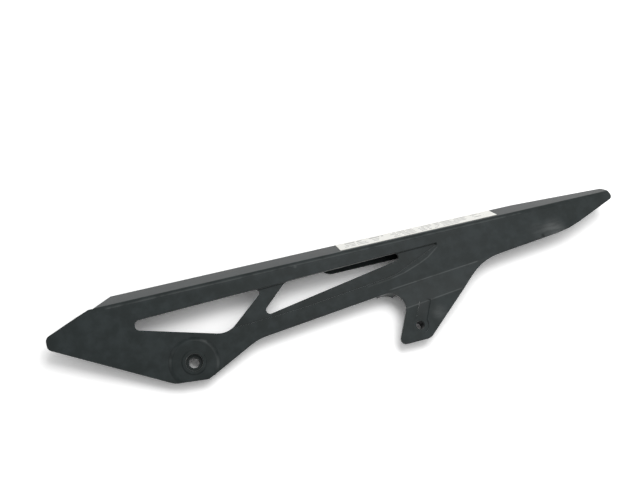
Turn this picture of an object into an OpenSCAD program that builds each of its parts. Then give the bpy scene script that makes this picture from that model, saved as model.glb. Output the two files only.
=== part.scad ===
// Motorcycle chain guard: one moulded sheet with a side plate, a leaning top face
// and an inner wall that hangs behind the rear two thirds of the chain run.
// The plate is drawn flat first, X towards the tail, Y up to the crease, Z outwards,
// with zero at the front bolt hole. It is then laid down on its inner wall and bosses.

/* [Overall] */
// Length from the front bolt hole forward to the nose
nose_reach = 111; // [100:0.5:125]
// Length from the front bolt hole back to the tail tip
tail_reach = 411; // [395:0.5:440]
// Height of the crease line above the front bolt hole
crease_y = 62; // [58:0.5:70]
// Wall of the moulding
wall = 2.5; // [2:0.1:3]
// How far the plate leans when the guard lies on its back
rest_tilt = 12; // [10:0.5:14]

/* [Top face] */
// Width of the top face, corner to corner
top_w = 28.6; // [25:0.1:31]
// How far the top face leans past square to the plate
top_lean = 30; // [20:1:38]
// Bevel on the crease, measured on each face
crease_cut = 2.8; // [2:0.1:4]
// Rounding of the two edges of that bevel
bevel_r = 3; // [2:0.1:4]
// Rounding of the back corner of the top face
back_r = 3.2; // [3.1:0.1:5]
// Place where the top face starts, ahead of the front bolt hole
top_start = 72.5; // [64:0.5:73]
// How far its front end is cut back from crease to back corner
top_skew = 20; // [6:0.5:24]
// Depth of the lip that stiffens the back corner
lip_drop = 8; // [6:0.5:12]
// Place where the top face begins to narrow towards the tail
taper_start = 322; // [300:1:335]
// Angle at which it narrows
taper_angle = 6.7; // [5:0.1:8]
// Rounding of the tail in plan
tail_r = 10; // [6:0.5:12]

/* [Inner wall] */
// Depth of the inner wall below the back corner
inner_drop = 27; // [22:0.5:30]
// Place where the inner wall starts, behind the front bolt hole
inner_start = 118; // [110:1:150]
// Rounding where it steps down from the lip
inner_r = 11; // [6:0.5:14]

/* [Side plate] */
// Height of the top corner of the nose
nose_top = 47.9; // [45:0.1:50]
// Height of the bottom corner of the nose
nose_low = 38.3; // [34:0.1:41]
// Place of the front top corner of the plate, ahead of the front bolt hole
brow_reach = 73; // [70:0.5:80]
// Depth of the front lobe below the bolt hole
lobe_drop = 16.3; // [14:0.1:19]
// Height of the belt line level with the front bolt hole
belt_y = 0.5; // [0:0.05:2]
// Slope of the belt line
belt_angle = 5.65; // [5:0.05:6.2]
// Rise of the tail tip's lower corner above the belt line
tip_rise = 14.1; // [13:0.1:15]

/* [Windows] */
// Height of the bar's lower edge level with the front bolt hole
bar_y = 46.1; // [44:0.1:48]
// Slope of the bar's lower edge
bar_angle = 1.5; // [1:0.1:2]
// Left end of the front window, ahead of the front bolt hole
window_front = 40.3; // [36:0.1:44]
// Right end of the rear window, behind the front bolt hole
window_back = 194; // [180:0.5:200]
// Depth of the recess round the rear window
recess_d = 2; // [1:0.1:2.4]

/* [Front mount] */
// Diameter of the front bolt hole
front_bore_d = 8.6; // [7:0.1:10]
// Diameter of the counterbore
front_seat_d = 14.2; // [13:0.1:16]
// Depth of the counterbore from the collar's face
front_seat_depth = 5; // [3:0.1:6]
// Diameter of the collar and of the boss behind it
front_boss_d = 20.6; // [19:0.1:24]
// Height of the collar above the pad
collar_h = 1; // [0.5:0.1:2]
// Diameter of the raised pad at its foot
pad_d = 42; // [38:0.5:44]
// Height of the raised pad
pad_h = 2; // [1:0.1:2.4]

/* [Rear tab] */
// Distance from the front bolt hole to the rear one, along the crease
rear_x = 194; // [185:0.5:205]
// Depth of the rear bolt hole below the front one
rear_drop = 16.3; // [14:0.1:19]
// Diameter of the rear bolt hole
rear_bore_d = 7.4; // [6.4:0.1:8.4]
// Diameter of the boss behind it
rear_boss_d = 14; // [12:0.1:16]
// How far the tab stands out from the plate
tab_out = 5; // [3:0.1:7]
// Height of the ramp between plate and tab
ramp_run = 18.6; // [16:0.1:20]
// Rounding of the two folds of the ramp
fold_r = 4; // [3:0.5:12]
// Depth of the tab below the rear bolt hole
tab_drop = 13; // [11:0.1:15]
// Depth of the dished track round the rear bolt hole
track_d = 0.8; // [0.4:0.1:1.2]
// Width of that track above the hole
track_w = 9.5; // [8:0.1:11]
// Depth of the rib behind the plate where the arm runs into the tab
rib_depth = 16; // [8:0.5:17]

/* [Label] */
// Left end of the label, behind the front bolt hole
label_start = 145.5; // [135:0.5:150]
// Length of the label
label_len = 151.5; // [120:0.5:154]
// Strip left bare between the crease's bevel and the label
label_margin = 2; // [0.5:0.1:4]
// Thickness of the label
label_t = 0.3; // [0.2:0.05:0.5]

/* [Hidden] */
$fn = 72;
arc_step = 7.5;
plastic = [0.16, 0.18, 0.18];
paper = [0.88, 0.87, 0.83];
// Reach of a cut past the face that it leaves through
past = 1;
// Reach of a blank that is cut down to an outline
far = 60;

// Slopes of the plate's straight edges, in degrees from the crease
keel_angle = -29.2;
lobe_angle = -6.2;
haunch_angle = 25.2;
tail_angle = 20.5;
shank_angle = 62.7;
heel_angle = 39.5;
// Rounding radii of the plate's outline
nose_r = 5;
keel_r = 20;
lobe_r = 5;
haunch_r = 40;
notch_r = 13;
tab_r = 4.5;
heel_r = 60;
tail_sweep_r = 90;
tip_r = 3.5;
// Where the lobe ends behind the front bolt hole, and its rise from there to the hole
lobe_back = 8.5;
lobe_rise = 1;
// The tab's lower corners, ahead of and behind the rear bolt hole
shank_back = 23.4;
heel_ahead = 5.8;
// Height of the brow's corner above the crease
brow_rise = 1.7;

// The front window: depth of its front end, foot of its rear post and radii
front_end_h = 7.7;
front_foot = [40.3, 22.8];
front_post_angle = 38.7;
front_sill_angle = -16.1;
front_head_r = 4.2;
front_end_r = 3.6;
front_belly_r = 18;
// The rear window: top of its front post, depth of its rear end and radii
rear_head_x = 90;
rear_end_h = 6.4;
rear_post_angle = 41;
rear_sill_angle = 9.3;
rear_head_r = 10;
rear_toe_r = 3.3;
pane_r = 2.8;
// The recess round the rear window: its corners, radii and thin rear end
recess_start = 62;
recess_toe = [30, 19.6];
recess_sag = [100, 22.8];
recess_heel = [186, 31.6];
recess_past = 37;
recess_end_h = 1.8;
sag_r = 200;
recess_heel_r = 40;
recess_end_r = 0.5;
// Step between the bar's lower edge and the recess
bar_step = 0.5;
// Length over which the inner wall comes down to its full depth
inner_slant = 14;

// Unit vector at an angle, and the point where two sloped lines cross
function dir(a) = [cos(a), sin(a)];
function meet(p, a, q, b) = p + dir(a) * cross(q - p, dir(b)) / cross(dir(a), dir(b));
function unit(v) = v / norm(v);
function right_of(v) = [v.y, -v.x];
function turned(v, a) = [v.x * cos(a) - v.y * sin(a), v.x * sin(a) + v.y * cos(a)];
function flat(c) = [c.x, c.y];

// One corner of an outline, given as [x, y, radius], as the points of its arc
function corner_arc(a, b, c) =
    b[2] <= 0 ? [flat(b)] :
    let (
        u = unit(flat(a) - flat(b)),
        w = unit(flat(c) - flat(b)),
        half = acos(u * w) / 2,
        centre = flat(b) + unit(u + w) * b[2] / sin(half),
        start = flat(b) + u * b[2] / tan(half) - centre,
        sweep = (180 - 2 * half) * sign(cross(-u, w)),
        steps = max(1, ceil(abs(sweep) / arc_step))
    )
    [for (i = [0:steps]) centre + turned(start, sweep * i / steps)];

// The same corner moved to the right of the direction of travel
function corner_moved(a, b, c, g) =
    let (
        u = unit(flat(b) - flat(a)),
        w = unit(flat(c) - flat(b)),
        n = right_of(u),
        m = right_of(w),
        p = flat(b) + g * (n + m) / (1 + n * m)
    )
    [p.x, p.y, max(0.2, b[2] + g * sign(cross(u, w)))];

// A closed outline with its corners rounded, and the same outline grown all round
function rounded(k) =
    [for (i = [0:len(k) - 1]) each corner_arc(k[(i + len(k) - 1) % len(k)], k[i], k[(i + 1) % len(k)])];
function grown(k, g) =
    [for (i = [0:len(k) - 1]) corner_moved(k[(i + len(k) - 1) % len(k)], k[i], k[(i + 1) % len(k)], g)];

// A sheet of one thickness that follows a bent path, with the path as its outer face
function side_step(p, q, t) = t * right_of(unit(flat(q) - flat(p)));
function moved_path(k, t) =
    let (n = len(k) - 1)
    [for (i = [0:n])
        i == 0 ? concat(flat(k[0]) + side_step(k[0], k[1], t), 0) :
        i == n ? concat(flat(k[n]) + side_step(k[n - 1], k[n], t), 0) :
        corner_moved(k[i - 1], k[i], k[i + 1], t)];
function path_points(k) =
    let (n = len(k) - 1)
    [for (i = [0:n]) each (i == 0 || i == n) ? [flat(k[i])] : corner_arc(k[i - 1], k[i], k[i + 1])];
function backwards(k) = [for (i = [len(k) - 1:-1:0]) k[i]];
function sheet(k, t) = concat(path_points(k), backwards(path_points(moved_path(k, t))));

// The cross-section of the guard: height along Y, depth along Z
top_dir = [sin(top_lean), -cos(top_lean)];
crease = [crease_y, 0];
back = crease + top_w * top_dir;
bevel_low = [crease_y - crease_cut, 0];
bevel_high = crease + crease_cut * top_dir;
lip_low = back.x - lip_drop;
inner_low = back.x - inner_drop;
// Length that the back corner's rounding takes from the flat of the top face
back_flat = back_r * tan(45 + top_lean / 2);
// Flat width of the strip that carries the back corner, and where it meets the top face
strip_flat = 3;
top_seam = top_w - back_flat - strip_flat;

// The belt line: lower edge of the arm, fold of the tab and lower edge of the tail
belt = [0, belt_y];
belt_slope = tan(belt_angle);
rear = [rear_x, -rear_drop];
tab_low = rear.y - tab_drop;
shank_foot = [rear.x - shank_back, tab_low];
heel_foot = [rear.x + heel_ahead, tab_low];
keel_end = meet([-nose_reach, nose_low], keel_angle, [0, lobe_rise - lobe_drop], lobe_angle);
lobe_end = [lobe_back, -lobe_drop];
haunch = meet(lobe_end, haunch_angle, belt, belt_angle);
notch = meet(belt, belt_angle, shank_foot, shank_angle);
heel = meet(belt, belt_angle, heel_foot, heel_angle);
tip = [tail_reach, belt_y + tail_reach * tan(belt_angle) + tip_rise];
tail_knee = meet(belt, belt_angle, tip, tail_angle);
above = crease_y + far;
side_outline = [
    [-nose_reach, nose_top, nose_r],
    [-nose_reach, nose_low, nose_r],
    concat(keel_end, keel_r),
    concat(lobe_end, lobe_r),
    concat(haunch, haunch_r),
    concat(notch, notch_r),
    concat(shank_foot, tab_r),
    concat(heel_foot, 2 * tab_r),
    concat(heel, heel_r),
    concat(tail_knee, tail_sweep_r),
    concat(tip, tip_r),
    [tail_reach, above, 0],
    [-brow_reach, above, 0],
    [-brow_reach, crease_y + brow_rise, 0]
];

// The windows, both under the bar's lower edge
bar = [0, bar_y];
function bar_at(x) = bar_y + x * tan(bar_angle);
front_end = [-window_front, bar_at(-window_front) - front_end_h];
front_toe = meet(front_foot, front_post_angle, bar, bar_angle);
front_window = [
    [-window_front, bar_at(-window_front), front_head_r],
    concat(front_end, front_end_r),
    concat(meet(front_end, front_sill_angle, front_toe, front_post_angle), front_belly_r),
    concat(front_toe, pane_r)
];
rear_head = [rear_head_x, bar_at(rear_head_x)];
rear_end = [window_back, bar_at(window_back) - rear_end_h];
rear_window = [
    concat(rear_head, rear_head_r),
    concat(meet(rear_head, rear_post_angle, rear_end, rear_sill_angle), rear_toe_r),
    concat(rear_end, pane_r),
    [window_back, bar_at(window_back), pane_r]
];
recess_end = window_back + recess_past;
recess_top = bar_at(recess_end) - bar_step;
recess = [
    [recess_start, bar_at(recess_start) - bar_step, 0],
    concat(recess_toe, 0),
    concat(recess_sag, sag_r),
    concat(recess_heel, recess_heel_r),
    [recess_end, recess_top - recess_end_h, recess_end_r],
    [recess_end, recess_top, recess_end_r]
];

// The wall behind the top face: a lip at the front, deeper from inner_start to the tail
wall_outline = [
    [-nose_reach, lip_low, 0],
    [inner_start, lip_low, inner_r],
    [inner_start + inner_slant, inner_low, inner_r],
    [tail_reach, inner_low, 0],
    [tail_reach, above, 0],
    [-nose_reach, above, 0]
];

// The oblique front end of the top face in plan, and the tail's depth at its tip
function skew_at(depth) = -top_start - top_skew * depth / back.y;
front_cut = [
    [-nose_reach - past, -wall],
    [-nose_reach - past, 2 * back.y],
    [skew_at(-2 * back.y), 2 * back.y],
    [skew_at(wall), -wall]
];
tail_depth = (top_w - (tail_reach - taper_start) * tan(taper_angle)) * cos(top_lean);

// The tab, in a frame with X along the belt line
fold_lap = 2;
shank_room = 30;
notch_turn = (shank_angle - belt_angle) / 2;
heel_turn = (heel_angle - belt_angle) / 2;
function along_belt(p) = (p - belt) * dir(belt_angle);
tab_from = along_belt(notch) - notch_r / tan(notch_turn) - past;
tab_to = along_belt(heel) + heel_r * tan(heel_turn) + past;
tab_path = [
    [-2 * far, tab_out, 0],
    [-ramp_run, tab_out, fold_r],
    [0, 0, fold_r],
    [2 * fold_lap, 0, 0]
];
track_len = 24;
// The rib's ends, measured from the place where the notch's rounding starts
rib_ahead = 4;
rib_behind = 9.5;
rib_foot = 2.5;
rib_low = 4;

// The rest: the inner wall's lower edge and the rims of both bosses meet one plane
boss_face_front = back.y + (inner_low + front_boss_d / 2) * tan(rest_tilt);
boss_face_rear = back.y + (inner_low - rear.y + rear_boss_d / 2) * tan(rest_tilt);
rest_low = inner_low * sin(rest_tilt) + back.y * cos(rest_tilt);
back_centre = corner_moved(crease, concat(back, 0), [lip_low, back.y], back_r);
y_most = back_centre.x * cos(rest_tilt) - back_centre.y * sin(rest_tilt) + back_r;
y_least = tab_low * cos(rest_tilt) - tab_out * sin(rest_tilt);

// Radial section of the front mount: bore, boss, hollow back of the pad, pad and collar
pad_slope = 2.2;
pad_r = pad_d / 2;
collar_face = pad_h + collar_h;
front_mount = [
    [front_bore_d / 2, boss_face_front],
    [front_boss_d / 2, boss_face_front],
    [front_boss_d / 2, pad_h - wall],
    [pad_r - pad_slope, pad_h - wall],
    [pad_r, -wall],
    [pad_r + past, -wall],
    [pad_r + past, 0],
    [pad_r, 0],
    [pad_r - pad_slope, pad_h],
    [front_boss_d / 2, pad_h],
    [front_boss_d / 2 - collar_h / 2, collar_face],
    [front_seat_d / 2, collar_face],
    [front_seat_d / 2, collar_face - front_seat_depth],
    [front_bore_d / 2, collar_face - front_seat_depth]
];

// Laid down as it rests, with zero under the middle of its outline
module laid_down() {
    translate([(nose_reach - tail_reach) / 2, -(y_most + y_least) / 2, -rest_low])
        rotate([rest_tilt, 0, 0])
            children();
}

// A section drawn as [height, depth], pulled along X from one place to another
module pulled(from, to) {
    translate([from, 0, 0])
        rotate([90, 0, 90])
            linear_extrude(height = to - from)
                children();
}

// A side view, pulled through from one depth to another
module through_side(low = -far, high = far) {
    translate([0, 0, low])
        linear_extrude(height = high - low)
            children();
}

// A plan view drawn as [length, depth], pulled through the whole height
module through_plan() {
    translate([0, above, 0])
        rotate([90, 0, 0])
            linear_extrude(height = above + far)
                children();
}

// A frame with X along the crease, Y across the top face and Z out of it
module on_top() {
    translate([0, crease.x, crease.y])
        rotate([top_lean - 90, 0, 0])
            children();
}

// A frame with X along the belt line
module on_belt() {
    translate([0, belt_y, 0])
        rotate([0, 0, belt_angle])
            children();
}

// A frame at the back corner where the taper starts, turned in the plane of the top face
module at_taper(angle) {
    translate([taper_start, back.x, back.y])
        turned_in_top(angle)
            children();
}

module turned_in_top(angle) {
    rotate(a = -angle, v = [0, cos(top_lean), sin(top_lean)])
        children();
}

// The plate, its bevelled crease and the flat of the top face
module plate_and_top() {
    top_end = crease + top_seam * top_dir;
    difference() {
        pulled(-nose_reach - past, tail_reach + past)
            polygon(sheet([
                [-far, 0, 0],
                [bevel_low.x, bevel_low.y, bevel_r],
                [bevel_high.x, bevel_high.y, bevel_r],
                [top_end.x, top_end.y, 0]
            ], wall));
        on_top()
            translate([taper_start, top_w, 0])
                rotate([0, 0, -taper_angle])
                    translate([0, -back_flat - strip_flat, -2 * wall])
                        cube([tail_reach, far, 3 * wall]);
    }
}

// The back corner of the top face with the wall that hangs from it
module back_strip(from, to) {
    top_inner = crease + top_seam * top_dir;
    pulled(from, to)
        polygon(sheet([
            [top_inner.x, top_inner.y, 0],
            [back.x, back.y, back_r],
            [inner_low - inner_drop, back.y, 0]
        ], wall));
}

// The straight run of that strip up to the mitre, in a frame that has the mitre at zero
module mitred_run() {
    run = nose_reach + taper_start;
    intersection() {
        turned_in_top(-taper_angle / 2)
            translate([0, -back.x, -back.y])
                back_strip(-run, far);
        translate([-run - far, -2 * above, -2 * above])
            cube([run + far, 4 * above, 4 * above]);
    }
}

// Both runs, the second a mirror image of the first, cut to the wall's outline
module back_wall() {
    intersection() {
        through_side() polygon(rounded(wall_outline));
        at_taper(taper_angle / 2) {
            mitred_run();
            mirror([1, 0, 0]) mitred_run();
        }
    }
}

// The closed tail tip, solid between the plate and the inner wall
module tail_end() {
    deep = tail_depth - wall / 2;
    thin = wall / 2;
    rise = tan(top_lean);
    under = crease_y - thin / cos(top_lean);
    pulled(tail_reach - tail_r, tail_reach + past)
        polygon([
            [inner_low - wall, -thin],
            [inner_low - wall, -deep],
            [under + deep * rise, -deep],
            [under + thin * rise, -thin]
        ]);
}

// What is cut from the tail to round its back corner in plan
module tail_corner() {
    through_plan()
        difference() {
            translate([tail_reach - tail_r, -tail_depth - tail_r])
                square([tail_r + past, 2 * tail_r]);
            translate([tail_reach - tail_r, -tail_depth + tail_r])
                circle(r = tail_r);
        }
}

// The stretch below the belt line where the tab takes the plate's place
module tab_zone() {
    on_belt()
        through_side()
            polygon([
                [tab_from, fold_lap],
                [tab_from, -past],
                [tab_from - shank_room, -past],
                [tab_from - shank_room, -2 * far],
                [tab_to, -2 * far],
                [tab_to, fold_lap]
            ]);
}

// The tab: out from the plate by a ramp between two folds
module tab_sheet() {
    intersection() {
        tab_zone();
        on_belt()
            pulled(tab_from - 2 * shank_room, tab_to + shank_room)
                polygon(sheet(tab_path, wall));
    }
}

// The sunk panel's back, one wall behind its face
module recess_back() {
    through_side(-recess_d - wall, -recess_d) polygon(rounded(grown(recess, wall)));
}

// The rib behind the top of the notch, cut by the plate's outline
module notch_rib() {
    start = along_belt(notch) - notch_r / tan(notch_turn);
    on_belt()
        through_side(-rib_depth, -wall / 2)
            translate([start - rib_ahead, -rib_low])
                square([rib_ahead + rib_behind, rib_low + rib_foot]);
}

// The dished track round the rear bolt hole and up towards the ramp
module track() {
    translate([rear.x, rear.y, tab_out - track_d])
        linear_extrude(height = track_d + past) {
            circle(d = rear_boss_d + past);
            rotate(shank_angle)
                translate([0, -track_w / 2])
                    square([track_len, track_w]);
        }
}

// The moulding without its mounts
module shell() {
    difference() {
        intersection() {
            through_side() polygon(rounded(side_outline));
            union() {
                difference() {
                    plate_and_top();
                    tab_zone();
                }
                tab_sheet();
                back_wall();
                tail_end();
                recess_back();
                notch_rib();
            }
        }
        through_plan() polygon(front_cut);
        tail_corner();
        through_side(-recess_d, past) polygon(rounded(recess));
        through_side(-recess_d - wall - past, past) {
            polygon(rounded(front_window));
            polygon(rounded(rear_window));
        }
        track();
    }
}

// The front mount, cut by the lobe's lower edge as the plate is
module front_boss() {
    intersection() {
        through_side() polygon(rounded(side_outline));
        rotate_extrude() polygon(front_mount);
    }
}

// The boss behind the rear bolt hole
module rear_boss() {
    translate([rear.x, rear.y, boss_face_rear])
        cylinder(d = rear_boss_d, h = tab_out - wall / 2 - track_d - boss_face_rear);
}

// The whole moulding
module guard() {
    color(plastic)
        laid_down()
            difference() {
                union() {
                    difference() {
                        shell();
                        translate([0, 0, -2 * wall]) cylinder(r = pad_r, h = 3 * wall);
                    }
                    front_boss();
                    rear_boss();
                }
                translate([rear.x, rear.y, boss_face_rear - past])
                    cylinder(d = rear_bore_d, h = tab_out - boss_face_rear + 2 * past);
            }
}

// The pale label on the flat of the top face
module label() {
    inset = crease_cut + bevel_r * tan((90 - top_lean) / 4) + label_margin;
    color(paper)
        laid_down()
            on_top()
                translate([label_start, inset, 0])
                    cube([label_len, top_w - back_flat - inset, label_t]);
}

guard();
label();
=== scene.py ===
"""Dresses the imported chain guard: a finely rounded copy of the moulding in grained black
plastic, its pale label, and a white table with soft light round it."""

import math

import bpy
from bpy.props import FloatProperty, FloatVectorProperty, PointerProperty
from mathutils import Matrix, Vector


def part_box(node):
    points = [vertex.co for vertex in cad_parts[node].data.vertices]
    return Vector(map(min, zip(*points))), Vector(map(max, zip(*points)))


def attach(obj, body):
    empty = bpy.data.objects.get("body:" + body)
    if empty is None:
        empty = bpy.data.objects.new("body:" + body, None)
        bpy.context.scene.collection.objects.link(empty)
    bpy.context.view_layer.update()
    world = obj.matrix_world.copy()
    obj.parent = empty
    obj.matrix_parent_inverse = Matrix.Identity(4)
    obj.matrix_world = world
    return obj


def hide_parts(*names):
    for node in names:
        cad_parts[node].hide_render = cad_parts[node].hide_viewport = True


bl_info = {
    "name": "Chain guard",
    "version": (1, 0, 0),
    "blender": (4, 5, 0),
    "location": "3D View > Sidebar > Guard",
    "description": "Builds the visible pieces of a moulded chain guard round its packed frame",
    "category": "Object",
}

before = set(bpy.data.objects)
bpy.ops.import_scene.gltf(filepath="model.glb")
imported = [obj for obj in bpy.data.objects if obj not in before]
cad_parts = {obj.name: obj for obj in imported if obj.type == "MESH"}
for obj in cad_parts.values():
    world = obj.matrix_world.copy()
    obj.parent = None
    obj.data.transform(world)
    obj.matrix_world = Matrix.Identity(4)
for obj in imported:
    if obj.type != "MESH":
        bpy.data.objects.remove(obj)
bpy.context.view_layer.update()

# The guard's own frame: X along the crease, Y up the side plate, Z out of it, in metres,
# with zero at the front bolt hole, as it lies in the row frame
REST_TILT = math.radians(12)
PLATE_ORIGIN = Vector((-0.15, -0.0235981, 0.013977))
PLATE = Matrix.Translation(PLATE_ORIGIN) @ Matrix.Rotation(REST_TILT, 4, "X")

# The camera in that frame
CAMERA_PLACE = Vector((-0.01543, -0.06628, 0.66970))
CAMERA_AIM = Vector((0.20626, 0.20505, -0.95677))
CAMERA_UP = Vector((0.21508, 0.94438, 0.24876))
CAMERA_LENS = 45.0
CAMERA_SENSOR = 36.0
CAMERA_NEAR = 0.01

# Points of the solid closer than this are one, and faces that turn less are one face
MERGE = 1e-6
FLAT_ANGLE = math.radians(0.4)

# Ends of the tab's fold, where slivers are closed up before the rims are rounded, in the
# row frame in metres
FOLD_ENDS = (
    Vector((0.13727, 0.00495, 0.0200)),
    Vector((0.13727, 0.00545, 0.0176)),
    Vector((0.02119, -0.00655, 0.0176)),
)
FOLD_END_REACH = 0.0012
FOLD_END_MERGE = 0.0006
# Short seams whose edges stay sharp, each with its reach, in the row frame
SHARP_SEAMS = (
    (Vector((0.2570, 0.0467, 0.0143)), 0.006),
    (Vector((-0.2239, 0.0389, 0.0247)), 0.004),
)
# Corners that the rounding throws clear of the moulding, in the row frame, and the reach
# that finds them
THROWN_CORNERS = (
    Vector((-0.17877, -0.0352, 0.01109)),
    Vector((-0.22026, 0.04223, 0.02513)),
    Vector((0.25965, 0.04658, 0.01442)),
    Vector((-0.1667, -0.0369, 0.01246)),
    Vector((-0.16676, -0.03702, 0.01218)),
)
THROWN_REACH = 0.0002

# Rings of the raised pad round the front hole, by radius and height in the guard's own
# frame: its shoulder is rounded more than the rims, and its foot stays sharp
PAD_TOP = (0.0188, 0.002)
PAD_FOOT = (0.0210, 0.0)
PAD_ROUND = 0.0013
PAD_SEGMENTS = 5
RING_REACH = 0.0003

# Angle from which an edge is a rim, and the steps of its rounding
RIM_ANGLE = math.radians(32)
RIM_SEGMENTS = 2

# The dished track in the tab, in the guard's own frame: the rear hole, the track's top,
# half its width, and the heights between which its soft walls lie
REAR_HOLE = Vector((0.194, -0.0163))
TRACK_TOP = Vector((0.2050, 0.0050))
TRACK_HALF = 0.0048
TRACK_WALLS = (0.0040, 0.0052)
BORE_CLEAR = 0.0052
# How far its walls reach beside it and round the hole, as shares of half its width, and
# past its top, as a share of its length
TRACK_BESIDE = 1.15
TRACK_ROUND = 1.8
TRACK_PAST = 1.1
# Painted shade on its floor, where the shallow dish lies in shade: half width and softness as
# shares of half its width, and strength
TRACK_SHADE_HALF = 0.7
TRACK_SHADE_SOFT = 0.5
TRACK_SHADE = 0.35

# Marks of use in the row frame: where, how far they reach, and how strong they are
SCUFFS = (
    (Vector((0.1945, 0.0131, 0.0218)), 0.015, 1.30),
    (Vector((0.1800, 0.0160, 0.0218)), 0.014, 0.40),
    (Vector((0.0639, -0.0341, 0.0169)), 0.010, 0.60),
    (Vector((-0.0485, 0.0345, 0.0263)), 0.0022, 1.00),
)
# Painted highlights: pale lines on the folds of the tab, along the lower edge of the recess and
# on the crease, where these edges catch the light, in the guard's own frame: start, end, strength
FOLD_HIGHLIGHTS = (
    (Vector((0.1775, 0.0200, 0.0)), Vector((0.2637, 0.0266, 0.0)), 0.80),
    (Vector((0.1857, 0.0005, 0.005)), Vector((0.2400, 0.0060, 0.005)), 0.70),
    (Vector((0.2304, 0.0475, 0.0)), Vector((0.2196, 0.0406, 0.0)), 0.65),
    (Vector((0.2196, 0.0406, 0.0)), Vector((0.2109, 0.0370, 0.0)), 0.75),
    (Vector((0.2109, 0.0370, 0.0)), Vector((0.1941, 0.0317, 0.0)), 0.70),
    (Vector((0.1941, 0.0317, 0.0)), Vector((0.1783, 0.0289, 0.0)), 0.55),
    (Vector((0.1783, 0.0289, 0.0)), Vector((0.1590, 0.0270, 0.0)), 0.35),
    (Vector((-0.0600, 0.0603, -0.0004)), Vector((0.3180, 0.0603, -0.0004)), 0.65),
    (Vector((-0.0600, 0.0612, -0.0010)), Vector((0.3180, 0.0612, -0.0010)), 0.35),
)
# How deep such a line reaches, half its width, and how soft its sides are
SKIN = 0.0012
FOLD_LINE_HALF = 0.0004
FOLD_LINE_SOFT = 0.0005
# Painted highlights on the shoulder of the pad, pale arcs where it faces the light: the
# shoulder's inner and outer radius, and for each arc where on it, reach and strength, in the
# guard's own frame
PAD_SHOULDER = (0.0186, 0.0206)
PAD_HIGHLIGHTS = (
    (Vector((0.0140, 0.0140, 0.0015)), 0.013, 0.90),
    (Vector((-0.0175, 0.0080, 0.0015)), 0.013, 0.55),
    (Vector((0.0190, -0.0050, 0.0015)), 0.009, 0.50),
)
# Dark nicks in the row frame: where, how far they reach, and how strong they are
NICKS = (
    (Vector((0.1819, 0.0110, 0.0214)), 0.0030, 1.00),
)

# The label lies on the leaning top face, at this angle to the floor of the row frame
LABEL_TILT = math.radians(48)
# Rows of faint grey bars on it, from its middle: across, half height, start and end
LABEL_ROWS = (
    (0.0050, 0.0013, -0.068, -0.031),
    (0.0056, 0.0008, -0.022, 0.066),
    (0.0022, 0.0008, -0.026, 0.058),
    (0.0002, 0.0008, -0.070, -0.034),
    (-0.0014, 0.0008, -0.022, 0.069),
    (-0.0036, 0.0008, -0.070, -0.038),
    (-0.0052, 0.0008, -0.024, 0.040),
)
LABEL_SOFT = 0.0002

# Noise: the size of its features in metres, its detail, its roughness and its stretch
CLOUD = (0.09, 3.0)
PATCH = (0.011, 4.0)
PEEL = (0.012, 1.0)
STREAK = (0.004, 5.0, 0.6, (0.25, 1.0, 1.0))
GRAIN_DETAIL = 2.0
LABEL_CLOUD = (0.02, 3.0)
LABEL_GAPS = (0.0045, 1.0, 0.5, (1.0, 0.25, 0.25))

# Bands of noise over which a mark fades in
CLOUD_BAND = (0.3, 0.7)
DUST_BAND = (0.35, 0.70)
RIM_BAND = (0.35, 0.65)
STREAK_BAND = (0.35, 0.65)
PAD_BAND = (0.25, 0.60)
LINE_BAND = (0.20, 0.55)
GAP_BAND = (0.40, 0.44)

# Shares of the two noises in the dust
DUST_OF_CLOUD = 0.35
DUST_OF_PATCH = 0.65
# Wear on rims and in scuffs: its least, and what noise adds to it
RIM_WEAR = (0.25, 0.55)
SCUFF_WEAR = (0.4, 0.6)

# Roughness of the plastic, and what each noise adds to it
ROUGHNESS = 0.30
ROUGH_CLOUD = 0.10
ROUGH_PATCH = 0.08
ROUGH_STREAK = 0.06
ROUGH_GRAIN = 0.05
SHEEN_ROUGHNESS = 0.3
PLASTIC_IOR = 1.5
# Bumps of its grain, their depth in metres, and how much higher the peel is than the grain
BUMP_STRENGTH = 0.30
BUMP_DEPTH = 0.00006
PEEL_HEIGHT = 2.0
# Roughness of the label and the table
LABEL_ROUGHNESS = 0.45
TABLE_ROUGHNESS = 0.9

# Square lights, each turned to the middle of the table: side and place in metres
KEY_LIGHT = (0.8, (0.3, 0.35, 1.3))
FILL_LIGHT = (1.0, (0.75, -0.25, 1.2))

WHITE = (1.0, 1.0, 1.0, 1.0)


# Shader maths


class Value:
    """A socket that gives a number, with the operators of shader maths."""

    def __init__(self, finish, socket):
        self.finish = finish
        self.socket = socket

    def of(self, name):
        """Another output of the same node."""
        return Value(self.finish, self.socket.node.outputs[name])

    def _math(self, operation, first, second):
        return self.finish.node("ShaderNodeMath", {"operation": operation}, {0: first, 1: second})

    def __add__(self, other):
        return self._math("ADD", self, other)

    def __radd__(self, other):
        return self._math("ADD", other, self)

    def __rsub__(self, other):
        return self._math("SUBTRACT", other, self)

    def __mul__(self, other):
        return self._math("MULTIPLY", self, other)

    def __rmul__(self, other):
        return self._math("MULTIPLY", other, self)


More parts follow.
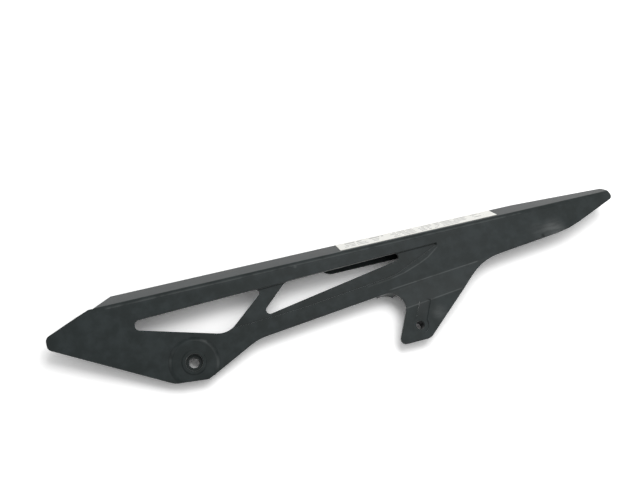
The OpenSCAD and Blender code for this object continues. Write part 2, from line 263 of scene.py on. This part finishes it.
class Finish:
    """A material with one Principled shader, and the nodes that feed it."""

    # Sockets of a colour mix: factor, first colour, second colour, and the mixed colour
    MIX_INPUTS = (0, 6, 7)
    MIXED = 2

    def __init__(self, name, **constants):
        self.material = bpy.data.materials.new(name)
        self.material.use_nodes = True
        self.tree = self.material.node_tree
        self.shader = self.tree.nodes["Principled BSDF"]
        for socket, value in constants.items():
            self.shader.inputs[socket.replace("_", " ")].default_value = value
        self.place = self.node("ShaderNodeTexCoord", {}, {}, "Object")

    def node(self, kind, settings, sockets, output=0):
        """Adds a node: its settings first, then the values or links of its sockets."""
        node = self.tree.nodes.new(kind)
        for name, value in settings.items():
            setattr(node, name, value)
        for name, value in sockets.items():
            if isinstance(value, Value):
                self.tree.links.new(value.socket, node.inputs[name])
            else:
                node.inputs[name].default_value = value
        return Value(self, node.outputs[output])

    def noise(self, size, detail, roughness=0.55, stretch=None):
        """Noise whose features are about size metres across."""
        place = self.place
        if stretch:
            place = self.node("ShaderNodeMapping", {}, {"Vector": place, "Scale": stretch})
        return self.node(
            "ShaderNodeTexNoise",
            {},
            {"Vector": place, "Scale": 1.0 / size, "Detail": detail, "Roughness": roughness},
        )

    def stroke(self, start, end, half, soft):
        """1 along a straight line on the plate, in the guard's own frame, 0 away from it."""
        start, end = PLATE @ start, PLATE @ end
        along = (end - start).normalized()
        out = PLATE.to_3x3() @ Vector((0, 0, 1))
        turn = Matrix((along, out.cross(along), out))
        lie = self.node(
            "ShaderNodeMapping",
            {},
            {
                "Vector": self.place,
                "Rotation": turn.to_euler(),
                "Location": -(turn @ ((start + end) / 2)),
            },
        )
        length = (end - start).length / 2
        place = self.node("ShaderNodeSeparateXYZ", {}, {"Vector": lie}, "X")
        return (
            self.between(place, -length, length, 4 * soft)
            * self.between(place.of("Y"), -half, half, soft)
            * self.between(place.of("Z"), -SKIN, SKIN, SKIN / 4)
        )

    def distance(self, spot):
        """How far a point is from a spot."""
        return self.node(
            "ShaderNodeVectorMath", {"operation": "DISTANCE"}, {0: self.place, 1: spot}, "Value"
        )

    def near(self, spot, reach):
        """1 at a spot, falling to 0 at its reach."""
        return 1 - self.ramp(self.distance(spot), 0.0, reach)

    def between(self, value, low, high, soft):
        """1 between low and high, 0 outside them."""
        return self.ramp(value, low - soft, low + soft) * (
            1 - self.ramp(value, high - soft, high + soft)
        )

    def ramp(self, value, low, high):
        """0 below low, 1 above high, smooth between."""
        return self.node(
            "ShaderNodeMapRange",
            {"interpolation_type": "SMOOTHSTEP"},
            {"Value": value, "From Min": low, "From Max": high},
        )

    def mix(self, factor, low, high):
        """A colour between two colours."""
        inputs = dict(zip(self.MIX_INPUTS, (factor, low, high)))
        return self.node("ShaderNodeMix", {"data_type": "RGBA"}, inputs, self.MIXED)

    def feed(self, **sockets):
        """Links values to sockets of the shader."""
        for name, value in sockets.items():
            self.tree.links.new(value.socket, self.shader.inputs[name.replace("_", " ")])


def colour(rgb):
    """A colour as the shader takes it, with full alpha."""
    return (rgb[0], rgb[1], rgb[2], 1.0)


# Selection and finishing


def only(obj):
    """Selects one object alone and makes it active."""
    bpy.ops.object.select_all(action="DESELECT")
    obj.select_set(True)
    bpy.context.view_layer.objects.active = obj


def apply_place(obj):
    """Puts an object's place, turn and scale into its mesh."""
    only(obj)
    bpy.ops.object.transform_apply(location=True, rotation=True, scale=True)


def own_copy(node, name):
    """A copy of a CAD node, its doubles merged, inner faces gone and flat faces joined."""
    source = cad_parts[node]
    copy = source.copy()
    copy.data = source.data.copy()
    copy.name = copy.data.name = name
    for key in [k for k in copy.keys() if k.startswith("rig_")]:
        del copy[key]
    bpy.context.scene.collection.objects.link(copy)
    copy.parent = None
    only(copy)
    bpy.ops.object.mode_set(mode="EDIT")
    bpy.ops.mesh.select_all(action="SELECT")
    bpy.ops.mesh.remove_doubles(threshold=MERGE)
    bpy.ops.mesh.select_mode(type="FACE")
    bpy.ops.mesh.select_all(action="DESELECT")
    bpy.ops.mesh.select_interior_faces()
    bpy.ops.mesh.delete(type="ONLY_FACE")
    bpy.ops.mesh.select_all(action="SELECT")
    bpy.ops.mesh.delete_loose(use_verts=True, use_edges=True, use_faces=False)
    bpy.ops.mesh.customdata_custom_splitnormals_clear()
    bpy.ops.mesh.select_all(action="SELECT")
    bpy.ops.mesh.dissolve_limited(angle_limit=FLAT_ANGLE)
    bpy.ops.object.mode_set(mode="OBJECT")
    return copy


def pick(obj, spots, reach):
    """Opens edit mode with the vertices that lie near the spots selected."""
    only(obj)
    bpy.ops.object.mode_set(mode="EDIT")
    bpy.ops.mesh.select_mode(type="VERT")
    bpy.ops.mesh.select_all(action="DESELECT")
    bpy.ops.object.mode_set(mode="OBJECT")
    for vertex in obj.data.vertices:
        vertex.select = any((vertex.co - spot).length < reach for spot in spots)
    bpy.ops.object.mode_set(mode="EDIT")


def in_track(point):
    """True on the walls of the dished track round the rear hole."""
    spot = PLATE.inverted() @ point
    away = spot.xy - REAR_HOLE
    track = TRACK_TOP - REAR_HOLE
    along = away.dot(track.normalized())
    across = abs(away.cross(track.normalized()))
    at_wall = TRACK_WALLS[0] < spot.z < TRACK_WALLS[1]
    round_hole = BORE_CLEAR < away.length < TRACK_HALF * TRACK_ROUND
    in_length = 0 < along < track.length * TRACK_PAST
    beside = in_length and across < TRACK_HALF * TRACK_BESIDE and away.length > BORE_CLEAR
    return at_wall and (round_hole or beside)


def on_ring(point, ring):
    """True on a ring round the front hole, given by its radius and height."""
    spot = PLATE.inverted() @ point
    return abs(spot.xy.length - ring[0]) < RING_REACH and abs(spot.z - ring[1]) < RING_REACH


def pick_ring(obj, ring):
    """Opens edit mode with the edges selected that lie on a ring round the front hole."""
    only(obj)
    bpy.ops.object.mode_set(mode="EDIT")
    bpy.ops.mesh.select_mode(type="EDGE")
    bpy.ops.mesh.select_all(action="DESELECT")
    bpy.ops.object.mode_set(mode="OBJECT")
    on = [on_ring(vertex.co, ring) for vertex in obj.data.vertices]
    for edge in obj.data.edges:
        edge.select = all(on[i] for i in edge.vertices)
    bpy.ops.object.mode_set(mode="EDIT")


def stays_sharp(start, end):
    """True for an edge at a short seam, on the track's walls or on the foot of the pad."""
    ends = (start, end)
    at_seam = any((point - seam).length < reach for seam, reach in SHARP_SEAMS for point in ends)
    return at_seam or all(in_track(point) or on_ring(point, PAD_FOOT) for point in ends)


def close_fold_ends(moulding):
    """Closes up the slivers at the ends of the tab's fold."""
    pick(moulding, FOLD_ENDS, FOLD_END_REACH)
    bpy.ops.mesh.remove_doubles(threshold=FOLD_END_MERGE)
    bpy.ops.object.mode_set(mode="OBJECT")


def round_pad(moulding):
    """Rounds the shoulder of the raised pad."""
    pick_ring(moulding, PAD_TOP)
    bpy.ops.mesh.bevel(
        offset=PAD_ROUND,
        segments=PAD_SEGMENTS,
        affect="EDGES",
        clamp_overlap=False,
    )
    bpy.ops.object.mode_set(mode="OBJECT")


def round_rims(moulding, size):
    """Rounds the rims with faces of the second material index, less the thrown corners."""
    mesh = moulding.data
    bpy.ops.object.mode_set(mode="EDIT")
    bpy.ops.mesh.select_mode(type="EDGE")
    bpy.ops.mesh.select_all(action="DESELECT")
    bpy.ops.mesh.edges_select_sharp(sharpness=RIM_ANGLE)
    bpy.ops.object.mode_set(mode="OBJECT")
    points = [vertex.co for vertex in mesh.vertices]
    for edge in mesh.edges:
        if edge.select and stays_sharp(*(points[i] for i in edge.vertices)):
            edge.select = False
    bpy.ops.object.mode_set(mode="EDIT")
    bpy.ops.mesh.bevel(
        offset=size,
        segments=RIM_SEGMENTS,
        affect="EDGES",
        clamp_overlap=False,
        material=1,
    )
    bpy.ops.object.mode_set(mode="OBJECT")
    pick(moulding, THROWN_CORNERS, THROWN_REACH)
    bpy.ops.mesh.dissolve_verts()
    bpy.ops.object.mode_set(mode="OBJECT")


def mark_rims(mesh):
    """Turns the material index of the rounded rims into the attribute that the finish reads."""
    rim = mesh.attributes.new("rim", "FLOAT", "FACE")
    rim.data.foreach_set("value", [float(p.material_index == 1) for p in mesh.polygons])
    mesh.polygons.foreach_set("material_index", [0] * len(mesh.polygons))


def smooth(obj):
    """Smooth shading up to the angle of a rim, led by the large faces."""
    only(obj)
    bpy.ops.object.shade_smooth_by_angle(angle=RIM_ANGLE)
    bpy.ops.object.modifier_add(type="WEIGHTED_NORMAL")
    obj.modifiers[-1].keep_sharp = True
    bpy.ops.object.modifier_apply(modifier=obj.modifiers[-1].name)


# Finishes


def moulded_plastic(sizes):
    """Charcoal moulding: fine grain, a soft uneven sheen, dust, scuffs and pale worn rims, with
    painted highlights on its folds, its crease and the shoulder of its pad, and painted shade in
    the dished track.
    """
    finish = Finish(
        "moulded_plastic",
        IOR=PLASTIC_IOR,
        Specular_IOR_Level=sizes.gloss,
        Sheen_Weight=sizes.sheen,
        Sheen_Roughness=SHEEN_ROUGHNESS,
    )
    cloud = finish.noise(*CLOUD)
    patch = finish.noise(*PATCH)
    grain = finish.noise(sizes.grain_size, GRAIN_DETAIL)
    peel = finish.noise(*PEEL)
    streak = finish.noise(*STREAK)
    rim = finish.node("ShaderNodeAttribute", {"attribute_name": "rim"}, {}, "Fac")
    scuffed = sum(finish.near(spot, reach) * force for spot, reach, force in SCUFFS)
    # Painted highlights along the folds of the tab, the recess's lower edge and the crease
    fold_highlights = sum(
        finish.stroke(start, end, FOLD_LINE_HALF, FOLD_LINE_SOFT) * force
        for start, end, force in FOLD_HIGHLIGHTS
    )
    nicks_and_track_shade = sum(finish.near(spot, reach) * force for spot, reach, force in NICKS)
    floor = Vector((0, 0, TRACK_WALLS[0]))
    hole, top = (end.to_3d() + floor for end in (REAR_HOLE, TRACK_TOP))
    soft = TRACK_HALF * TRACK_SHADE_SOFT
    # Painted shade on the floor of the dished track, mixed in with the dark of the nicks
    nicks_and_track_shade = nicks_and_track_shade + finish.stroke(hole, top, TRACK_HALF * TRACK_SHADE_HALF, soft) * TRACK_SHADE
    dusty = finish.ramp(cloud, *CLOUD_BAND) * DUST_OF_CLOUD
    dusty = dusty + finish.ramp(patch, *DUST_BAND) * DUST_OF_PATCH
    # Pale wear on rims and in scuffs, to which the painted highlights of the pad and the folds
    # are added
    wear_and_highlights = rim * (RIM_WEAR[0] + RIM_WEAR[1] * finish.ramp(patch, *RIM_BAND))
    wear_and_highlights = wear_and_highlights + scuffed * (SCUFF_WEAR[0] + SCUFF_WEAR[1] * finish.ramp(streak, *STREAK_BAND))
    # Painted highlights on the pad's shoulder, pale arcs where it faces the light
    shoulder = finish.between(finish.distance(PLATE_ORIGIN), *PAD_SHOULDER, FOLD_LINE_SOFT)
    pad_highlights = sum(finish.near(PLATE @ spot, reach) * force for spot, reach, force in PAD_HIGHLIGHTS)
    wear_and_highlights = wear_and_highlights + shoulder * pad_highlights * finish.ramp(patch, *PAD_BAND)
    wear_and_highlights = wear_and_highlights + fold_highlights * finish.ramp(patch, *LINE_BAND)
    shade = finish.mix(dusty, colour(sizes.plastic), colour(sizes.dusty))
    shade = finish.mix(wear_and_highlights, shade, colour(sizes.wear_and_highlights))
    rough = ROUGHNESS + ROUGH_CLOUD * cloud + ROUGH_PATCH * patch
    height = grain + PEEL_HEIGHT * peel
    finish.feed(
        Base_Color=finish.mix(nicks_and_track_shade, shade, colour(sizes.nick_and_track_shade)),
        Roughness=rough + ROUGH_STREAK * streak + ROUGH_GRAIN * grain,
        Normal=finish.node(
            "ShaderNodeBump",
            {},
            {"Strength": BUMP_STRENGTH, "Distance": BUMP_DEPTH, "Height": height},
        ),
    )
    return finish.material


def label_film(sizes):
    """Off-white film with rows of faint grey bars."""
    finish = Finish("label_film", Roughness=LABEL_ROUGHNESS)
    low, high = (Vector(corner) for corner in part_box("label"))
    turn = Matrix.Rotation(LABEL_TILT, 3, "X")
    lie = finish.node(
        "ShaderNodeMapping",
        {},
        {
            "Vector": finish.place,
            "Rotation": (LABEL_TILT, 0.0, 0.0),
            "Location": -(turn @ ((low + high) / 2)),
        },
    )
    along = finish.node("ShaderNodeSeparateXYZ", {}, {"Vector": lie}, "X")
    across = along.of("Y")
    bars = sum(
        finish.between(across, row - half, row + half, LABEL_SOFT)
        * finish.between(along, start, end, LABEL_SOFT)
        for row, half, start, end in LABEL_ROWS
    )
    gaps = finish.ramp(finish.noise(*LABEL_GAPS), *GAP_BAND)
    cloud = finish.noise(*LABEL_CLOUD)
    shade = finish.mix(cloud, colour(sizes.paper), colour(sizes.paper_shade))
    finish.feed(Base_Color=finish.mix(bars * gaps, shade, colour(sizes.bars)))
    return finish.material


# The stage


def table_finish(sizes):
    """White, and paler for every ray that sees the table than for the light it throws back."""
    finish = Finish("table_white", Roughness=TABLE_ROUGHNESS, Specular_IOR_Level=0.0)
    rays = finish.node("ShaderNodeLightPath", {}, {}, "Is Camera Ray")
    seen = rays + rays.of("Is Glossy Ray") + rays.of("Is Transmission Ray")
    finish.feed(Base_Color=sizes.table_white + finish.ramp(seen, 0.0, 1.0) * sizes.table_lift)
    return finish.material


def lay_table(sizes):
    """The white table."""
    bpy.ops.object.select_all(action="DESELECT")
    bpy.ops.mesh.primitive_plane_add(size=sizes.floor_size, location=(0, 0, 0))
    table = bpy.context.object
    table.name = "table"
    apply_place(table)
    table.data.materials.append(table_finish(sizes))


def studio_world(strength):
    """Even light from all round, and plain white for every ray that sees it."""
    world = bpy.data.worlds.new("studio")
    world.use_nodes = True
    tree = world.node_tree
    tree.nodes.clear()
    output = tree.nodes.new("ShaderNodeOutputWorld")
    seen = tree.nodes.new("ShaderNodeBackground")
    light = tree.nodes.new("ShaderNodeBackground")
    mix = tree.nodes.new("ShaderNodeMixShader")
    rays = tree.nodes.new("ShaderNodeLightPath")
    light.inputs["Strength"].default_value = strength
    light.inputs["Color"].default_value = WHITE
    seen.inputs["Color"].default_value = WHITE
    camera_or_glossy = tree.nodes.new("ShaderNodeMath")
    any_seen = tree.nodes.new("ShaderNodeMath")
    camera_or_glossy.operation = any_seen.operation = "MAXIMUM"
    tree.links.new(rays.outputs["Is Camera Ray"], camera_or_glossy.inputs[0])
    tree.links.new(rays.outputs["Is Glossy Ray"], camera_or_glossy.inputs[1])
    tree.links.new(camera_or_glossy.outputs[0], any_seen.inputs[0])
    tree.links.new(rays.outputs["Is Transmission Ray"], any_seen.inputs[1])
    tree.links.new(any_seen.outputs[0], mix.inputs[0])
    tree.links.new(light.outputs[0], mix.inputs[1])
    tree.links.new(seen.outputs[0], mix.inputs[2])
    tree.links.new(mix.outputs[0], output.inputs[0])
    return world


def hang_light(name, power, side, place):
    """A square light, turned to the middle of the table."""
    bpy.ops.object.light_add(type="AREA", location=place)
    lamp = bpy.context.object
    lamp.name = name
    lamp.data.shape = "SQUARE"
    lamp.data.size = side
    lamp.data.energy = power
    lamp.rotation_euler = (-Vector(place)).to_track_quat("-Z", "Y").to_euler()


def place_camera():
    """The camera of the photograph, from its place in the guard's own frame."""
    bpy.ops.object.camera_add()
    camera = bpy.context.object
    camera.name = "view_of_the_photograph"
    aim = (PLATE.to_3x3() @ CAMERA_AIM).normalized()
    up = (PLATE.to_3x3() @ CAMERA_UP).normalized()
    side = aim.cross(up).normalized()
    up = side.cross(aim)
    turn = Matrix((side, up, -aim)).transposed().to_4x4()
    camera.matrix_world = Matrix.Translation(PLATE @ CAMERA_PLACE) @ turn
    camera.data.lens = CAMERA_LENS
    camera.data.sensor_width = CAMERA_SENSOR
    camera.data.clip_start = CAMERA_NEAR
    return camera


# Sizes and colours


class GuardSizes(bpy.types.PropertyGroup):
    """Sizes and colours of the moulding and its label."""

    rim_round: FloatProperty(
        name="Rim rounding",
        description="Rounding of the moulding's sharp rims",
        default=0.00035,
        unit="LENGTH",
    )
    grain_size: FloatProperty(
        name="Grain",
        description="Size of the moulded grain",
        default=0.0009,
        unit="LENGTH",
    )
    plastic: FloatVectorProperty(
        name="Plastic",
        description="Colour of the plastic",
        default=(0.0065, 0.0105, 0.0102),
        subtype="COLOR",
    )
    dusty: FloatVectorProperty(
        name="Dusty plastic",
        description="Colour of the plastic where dust lies on it",
        default=(0.0200, 0.0265, 0.0275),
        subtype="COLOR",
    )
    # Pale colour of worn rims and scuffs, also used for the painted highlights on the folds, the
    # crease and the pad
    wear_and_highlights: FloatVectorProperty(
        name="Worn plastic",
        description="Colour of the plastic on worn rims",
        default=(0.075, 0.082, 0.082),
        subtype="COLOR",
    )
    # Colour of the dark nicks, also used for the painted shade in the dished track
    nick_and_track_shade: FloatVectorProperty(
        name="Nick",
        description="Colour in a nick",
        default=(0.001, 0.0035, 0.0032),
        subtype="COLOR",
    )
    gloss: FloatProperty(
        name="Gloss",
        description="Specular level of the plastic",
        default=0.17,
    )
    sheen: FloatProperty(
        name="Sheen",
        description="Weight of the soft sheen at flat angles",
        default=0.40,
    )
    paper: FloatVectorProperty(
        name="Label",
        description="Colour of the label",
        default=(0.86, 0.855, 0.81),
        subtype="COLOR",
    )
    paper_shade: FloatVectorProperty(
        name="Label shade",
        description="Colour of the label where it is darker",
        default=(0.79, 0.785, 0.74),
        subtype="COLOR",
    )
    bars: FloatVectorProperty(
        name="Label bars",
        description="Colour of the faint bars on the label",
        default=(0.42, 0.42, 0.41),
        subtype="COLOR",
    )


class StageSizes(bpy.types.PropertyGroup):
    """The table and the light."""

    floor_size: FloatProperty(
        name="Table",
        description="Side of the white table",
        default=8.0,
        unit="LENGTH",
    )
    table_white: FloatProperty(
        name="Table white",
        description="Share of the light that the table throws back",
        default=0.85,
    )
    table_lift: FloatProperty(
        name="Table lift",
        description="How much paler the table looks than the light it throws back",
        default=0.50,
    )
    key_power: FloatProperty(
        name="Key light",
        description="Power of the large light over the object, in watts",
        default=8.8,
    )
    fill_power: FloatProperty(
        name="Fill light",
        description="Power of the light over the near side, in watts",
        default=3.0,
    )
    sky: FloatProperty(
        name="Sky",
        description="Strength of the even light from all round",
        default=0.50,
    )


# Pieces


class GUARD_OT_moulding(bpy.types.Operator):
    """The moulding, with its rims rounded"""

    bl_idname = "guard.moulding"
    bl_label = "Moulding"

    def execute(self, context):
        sizes = context.scene.guard_sizes
        moulding = own_copy("guard", "guard_moulding")
        close_fold_ends(moulding)
        round_pad(moulding)
        round_rims(moulding, sizes.rim_round)
        mark_rims(moulding.data)
        moulding.data.materials.clear()
        moulding.data.materials.append(moulded_plastic(sizes))
        smooth(moulding)
        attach(moulding, "root")
        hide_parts("guard")
        return {"FINISHED"}


class GUARD_OT_label(bpy.types.Operator):
    """The label on the flat of the top face"""

    bl_idname = "guard.label"
    bl_label = "Label"

    def execute(self, context):
        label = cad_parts["label"]
        label.data.materials.clear()
        label.data.materials.append(label_film(context.scene.guard_sizes))
        return {"FINISHED"}


class GUARD_OT_stage(bpy.types.Operator):
    """The white table, the light and the camera"""

    bl_idname = "guard.stage"
    bl_label = "Stage"

    def execute(self, context):
        sizes = context.scene.stage_sizes
        scene = context.scene
        lay_table(sizes)
        scene.world = studio_world(sizes.sky)
        hang_light("key_light", sizes.key_power, *KEY_LIGHT)
        hang_light("fill_light", sizes.fill_power, *FILL_LIGHT)
        scene.camera = place_camera()
        scene.view_settings.view_transform = "Standard"
        return {"FINISHED"}


class GUARD_PT_panel(bpy.types.Panel):
    """The guard's sizes and the steps that build it"""

    bl_idname = "GUARD_PT_panel"
    bl_label = "Chain guard"
    bl_space_type = "VIEW_3D"
    bl_region_type = "UI"
    bl_category = "Guard"

    def draw(self, context):
        layout = self.layout
        for group in (context.scene.guard_sizes, context.scene.stage_sizes):
            for name in group.__annotations__:
                layout.prop(group, name)
        for step in STEPS:
            layout.operator(step.bl_idname)


STEPS = (GUARD_OT_moulding, GUARD_OT_label, GUARD_OT_stage)
CLASSES = (GuardSizes, StageSizes) + STEPS + (GUARD_PT_panel,)


def register():
    for cls in CLASSES:
        bpy.utils.register_class(cls)
    bpy.types.Scene.guard_sizes = PointerProperty(type=GuardSizes)
    bpy.types.Scene.stage_sizes = PointerProperty(type=StageSizes)


def unregister():
    del bpy.types.Scene.stage_sizes
    del bpy.types.Scene.guard_sizes
    for cls in reversed(CLASSES):
        bpy.utils.unregister_class(cls)


def main():
    register()
    bpy.ops.guard.moulding()
    bpy.ops.guard.label()
    bpy.ops.guard.stage()


if __name__ == "__main__":
    main()
